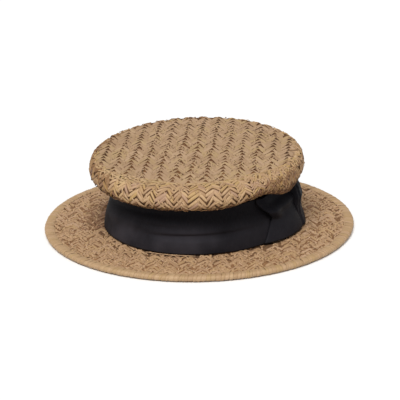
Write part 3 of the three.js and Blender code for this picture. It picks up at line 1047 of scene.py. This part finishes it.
# %% Ribbon
def make_ribbon():
    bm = bmesh.new()
    levels = 44
    verts = []
    for level in range(levels + 1):
        height = BRIM_TOP + RIBBON_LIFT + RIBBON_HEIGHT * level / levels
        verts.append(bm.verts.new((0, -HALF_LENGTH, height)))
    edges = [bm.edges.new(pair) for pair in zip(verts, verts[1:])]
    bmesh.ops.spin(bm, geom=verts + edges, axis=(0, 0, 1), cent=(0, 0, 0), angle=TURN, steps=288, use_merge=True)
    bmesh.ops.remove_doubles(bm, verts=bm.verts, dist=0.001)
    uv = bm.loops.layers.uv.new("UVMap")
    for face in bm.faces:
        face.smooth = True
        middle = face.calc_center_median()
        centre = math.atan2(middle.x, -middle.y)
        for loop in face.loops:
            turn = math.atan2(loop.vert.co.x, -loop.vert.co.y) - centre
            turn = centre + (turn + math.pi) % TURN - math.pi
            loop[uv].uv = (turn * 0.096, loop.vert.co.z / 1000)
    for vert in bm.verts:
        angle = math.atan2(vert.co.x, -vert.co.y)
        up = vert.co.z - BRIM_TOP
        ripple = 0.35 * noise.noise((angle * 4, up / 16, 7.0)) + 0.12 * noise.noise((angle * 13, up / 6, 2.0))
        vert.co = on_oval(angle, ribbon_reach(angle, up) + ripple, vert.co.z)
    bmesh.ops.recalc_face_normals(bm, faces=bm.faces)
    first = next(iter(bm.faces))
    if first.normal.dot(first.calc_center_median() * Vector((1, 1, 0))) < 0:
        bmesh.ops.reverse_faces(bm, faces=bm.faces)
    return bm


hat_ribbon = finish_piece(make_ribbon(), "ribbon_band", "hat_ribbon", [black_satin])
thickness = hat_ribbon.modifiers.new("thickness", "SOLIDIFY")
thickness.thickness = 0.0008
thickness.offset = -1

# %% [markdown]
# ## The bow
# The bow is flat: two swallow-tailed ends of the same ribbon, which swell away from the band near the knot, and a
# short wrap over the middle. Each end is a grid laid over the ribbon by its distance along it, its height and its
# depth, so it follows the band's own bends. A thickness is added afterwards, so that the cut ends show it.

# %% Distances along the ribbon
def ribbon_angles(reach, steps=1440):
    """Distance along the ribbon's lower edge for each small step of angle"""
    marks = [0.0]
    before = on_oval(0, reach, 0)
    for step in range(1, steps + 1):
        here = on_oval(TURN * step / steps, reach, 0)
        marks.append(marks[-1] + (here - before).length * 1000)
        before = here
    return marks


ribbon_marks = ribbon_angles(FOOT_REACH + 1.3)


def angle_along(distance):
    step = 0
    low, high = 0, len(ribbon_marks) - 1
    while high - low > 1:
        step = (low + high) // 2
        low, high = (step, high) if ribbon_marks[step] <= distance else (low, step)
    share = (distance - ribbon_marks[low]) / (ribbon_marks[high] - ribbon_marks[low])
    return TURN * (low + share) / (len(ribbon_marks) - 1)


def over_ribbon(distance, up, depth):
    angle = angle_along(distance)
    return on_oval(angle, ribbon_reach(angle, up) + depth, BRIM_TOP + up)


print("the band's lower edge is", round(ribbon_marks[-1]), "mm round")

# %% The bow's two ends
BOW_PLACE = 160
TAIL_LENGTH = 72
NOTCH = 19
KNOT_WIDTH = 28
KNOT_DEPTH = 13.7
BOW_LOW = 2.0
BOW_HIGH = 46.4
TAIL_SHAPE = [
    (0.0, 1.0, 0.05),
    (0.24, 0.9, 0.5),
    (0.44, 0.92, 1.0),
    (0.68, 0.88, 0.5),
    (0.86, 0.6, 0.08),
    (1.0, 0.2, 0.0),
]
KNOT_SHAPE = [
    (0.0, 0.94, 0.88),
    (0.24, 0.94, 0.8),
    (0.44, 1.0, 0.98),
    (0.66, 1.0, 1.34),
    (0.84, 0.96, 1.24),
    (1.0, 0.9, 0.95),
]


def read_shape(rows, column, up):
    """A column's value at a share of the height, along straight lines between the rows"""
    for low, high in zip(rows, rows[1:]):
        if up <= high[0]:
            share = clamp((up - low[0]) / (high[0] - low[0]))
            return low[column] + (high[column] - low[column]) * share
    return rows[-1][column]


def bow_up(share):
    return BOW_LOW + (BOW_HIGH - BOW_LOW) * share


def grid_over(columns, levels, place):
    """A grid whose corners are put by place(u, v), with shares 0 to 1"""
    bm = bmesh.new()
    uv = bm.loops.layers.uv.new("UVMap")
    bmesh.ops.create_grid(bm, x_segments=columns, y_segments=levels, size=1.0)
    for face in bm.faces:
        face.smooth = True
        for loop in face.loops:
            loop[uv].uv = (loop.vert.co.x * 0.04, loop.vert.co.y * 0.022)
    for vert in bm.verts:
        vert.co = place((vert.co.x + 1) / 2, (vert.co.y + 1) / 2)
    middle = on_oval(angle_along(BOW_PLACE), 0, 20)
    middle.z = 0.0
    face = max(bm.faces, key=lambda one: one.calc_area())
    if face.normal.dot(middle) < 0:
        bmesh.ops.reverse_faces(bm, faces=bm.faces)
    return bm


def tail_fold(u, up):
    """The drape of an end: its cloth is pinched at the knot, so a fold runs from there up to the outer corner.
    The cloth swells out below the fold and sinks in above it."""
    above = up - 36.5 + 3.0 * u
    return 2.4 * math.exp(-((above + 3.0) / 4.0) ** 2) - 3.4 * ease(-1.5, 5.0, above) * (1 - 0.45 * u)


def make_tail(direction):
    def place(u, v):
        along = 1 - u if direction < 0 else u
        root = KNOT_WIDTH / 2 - 2.0
        tip = TAIL_LENGTH - NOTCH * read_shape(TAIL_SHAPE, 2, v)
        away = root + (tip - root) * along
        fade = max(0.0, math.cos(math.pi / 2 * along)) ** 0.7
        swell = 9.5 * fade * read_shape(TAIL_SHAPE, 1, v)
        stand = 1.5 + 4.8 * ease(0.38, 0.56, v) * ease(0.52, 0.9, along) * (1 - 0.4 * ease(0.75, 1.0, v))
        stand *= 1 - 0.2 * ease(0.8, 1.0, along)
        return over_ribbon(BOW_PLACE + direction * away, bow_up(v), stand + swell + tail_fold(along, bow_up(v)))
    return grid_over(44, 36, place)


bow_ends = []
for name, node, direction in (("bow_end_front", "bow_tail_front", -1), ("bow_end_back", "bow_tail_back", 1)):
    tail = finish_piece(make_tail(direction), name, node, [bow_satin])
    thickness = tail.modifiers.new("thickness", "SOLIDIFY")
    thickness.thickness = 0.0009
    thickness.offset = -1
    bow_ends.append(tail)

# %% The knot
def make_knot():
    def place(u, v):
        half = KNOT_WIDTH / 2 * read_shape(KNOT_SHAPE, 1, v)
        across = 2 * u - 1
        rounding = 1 - 0.22 * across ** 4 - 0.75 * ease(0.86, 1.0, abs(across))
        crease = 1.5 * math.exp(-((across + 0.58) / 0.11) ** 2) + 0.8 * math.exp(-((across - 0.35) / 0.14) ** 2)
        depth = KNOT_DEPTH * rounding * read_shape(KNOT_SHAPE, 2, v) - crease
        return over_ribbon(BOW_PLACE + half * across, bow_up(v), depth)
    return grid_over(44, 24, place)


bow_wrap = finish_piece(make_knot(), "bow_wrap", "bow_knot", [bow_satin])
thickness = bow_wrap.modifiers.new("thickness", "SOLIDIFY")
thickness.thickness = 0.0009
thickness.offset = -1

# %% [markdown]
# ## The studio
# The hat lies on a plain pale table under a big soft light, as in a shop picture. The camera stands 1.7 m away
# with a long lens, which keeps the oval of the brim from bulging. It looks down 19 degrees and from 11 degrees to
# the wearer's left, and is tipped by less than a degree.

# %% Floor and light
def make_floor():
    bm = bmesh.new()
    bmesh.ops.create_grid(bm, x_segments=1, y_segments=1, size=6.0)
    mesh = bpy.data.meshes.new("floor")
    bm.to_mesh(mesh)
    bm.free()
    floor = bpy.data.objects.new("floor", mesh)
    floor.location.z = -0.0005
    bpy.context.scene.collection.objects.link(floor)
    material = bpy.data.materials.new("pale_floor")
    material.use_nodes = True
    shader = material.node_tree.nodes["Principled BSDF"]
    shader.inputs["Base Color"].default_value = (0.93, 0.93, 0.93, 1)
    shader.inputs["Roughness"].default_value = 0.9
    mesh.materials.append(material)
    return floor


def add_sun(name, strength, softness, place):
    data = bpy.data.lights.new(name, "SUN")
    data.energy = strength
    data.angle = math.radians(softness)
    light = bpy.data.objects.new(name, data)
    light.rotation_euler = (-Vector(place)).to_track_quat("-Z", "Y").to_euler()
    bpy.context.scene.collection.objects.link(light)
    return light


make_floor()
add_sun("soft_sun", 2.65, 35, (-0.06, -0.79, 1.3))
world = bpy.data.worlds.new("studio")
bpy.context.scene.world = world
world.use_nodes = True
world.node_tree.nodes["Background"].inputs["Color"].default_value = (1.0, 1.0, 1.0, 1)
world.node_tree.nodes["Background"].inputs["Strength"].default_value = 0.43
bpy.context.scene.view_settings.view_transform = "Standard"

# %% Camera
def make_camera(azimuth, elevation, distance, aim, roll, lens, shift):
    a, e = math.radians(azimuth), math.radians(elevation)
    back = Vector((math.sin(a) * math.cos(e), -math.cos(a) * math.cos(e), math.sin(e)))
    data = bpy.data.cameras.new("camera")
    data.lens = lens
    data.sensor_width = 36.0
    data.shift_x, data.shift_y = shift
    camera = bpy.data.objects.new("camera", data)
    camera.location = Vector(aim) + back * distance
    turn = (-back).to_track_quat("-Z", "Y").to_matrix()
    tip_over = turn @ Matrix.Rotation(math.radians(roll), 3, "Z")
    camera.rotation_euler = tip_over.to_euler()
    bpy.context.scene.collection.objects.link(camera)
    bpy.context.scene.camera = camera
    return camera


make_camera(11.3, 19.0, 1.7, (0, 0, 0.0052), -0.71, 153.0, (0.00135, 0.0476))
